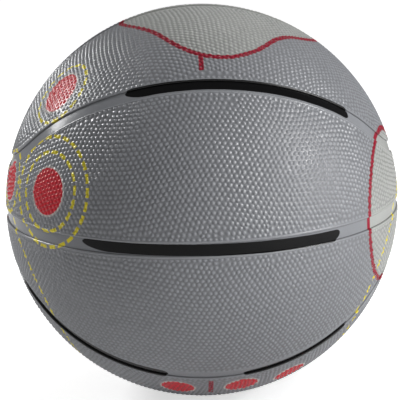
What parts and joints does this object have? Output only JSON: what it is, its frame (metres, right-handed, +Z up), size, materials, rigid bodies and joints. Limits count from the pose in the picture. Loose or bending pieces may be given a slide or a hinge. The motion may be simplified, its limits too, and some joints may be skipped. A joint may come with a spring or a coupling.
{
  "type": "basketball",
  "caption": "Layered moulded-rubber basketball with a wound bladder, pebbled cover panels, seam strips sunk in channels and a needle valve.",
  "frame": {"origin": "centre of the ball", "axes": "+Z up along the axis of the belt seam, +X to the seam crossing on the right, front at -Y, valve on the back"},
  "size_m": [0.222, 0.2222, 0.2222],
  "materials": {
    "cover_rubber": "pebbled, satin",
    "seam_rubber": "smooth, satin, grey rubber painted black along part of each seam",
    "carcass_rubber": "matt",
    "winding_thread": "wound nylon thread",
    "bladder_rubber": "matt",
    "valve_rubber": "matt",
    "plug_rubber": "matt"
  },
  "bodies": {
    "ball": {"bladder": "bladder_rubber", "valve_boot": "valve_rubber", "winding": "winding_thread", "carcass": "carcass_rubber", "panel_top_front": "cover_rubber", "panel_top_back": "cover_rubber", "panel_upper_front": "cover_rubber", "panel_upper_back": "cover_rubber", "panel_lower_front": "cover_rubber", "panel_lower_back": "cover_rubber", "panel_bottom_front": "cover_rubber", "panel_bottom_back": "cover_rubber", "belt_strip_front": "seam_rubber", "belt_strip_back": "seam_rubber", "top_loop_strip_front": "seam_rubber", "top_loop_strip_back": "seam_rubber", "bottom_loop_strip_front": "seam_rubber", "bottom_loop_strip_back": "seam_rubber", "crown_strip_top": "seam_rubber", "crown_strip_bottom": "seam_rubber", "crown_strip_right_upper": "seam_rubber", "crown_strip_right_lower": "seam_rubber", "crown_strip_left_upper": "seam_rubber", "crown_strip_left_lower": "seam_rubber"},
    "plug": {"valve_plug": "plug_rubber"}
  },
  "joints": [
    {"name": "valve_plug_pull", "type": "slide", "parent": "ball", "child": "plug", "axis": [0, 0.9239, 0.3827], "range_m": [0, 0.018]}
  ]
}
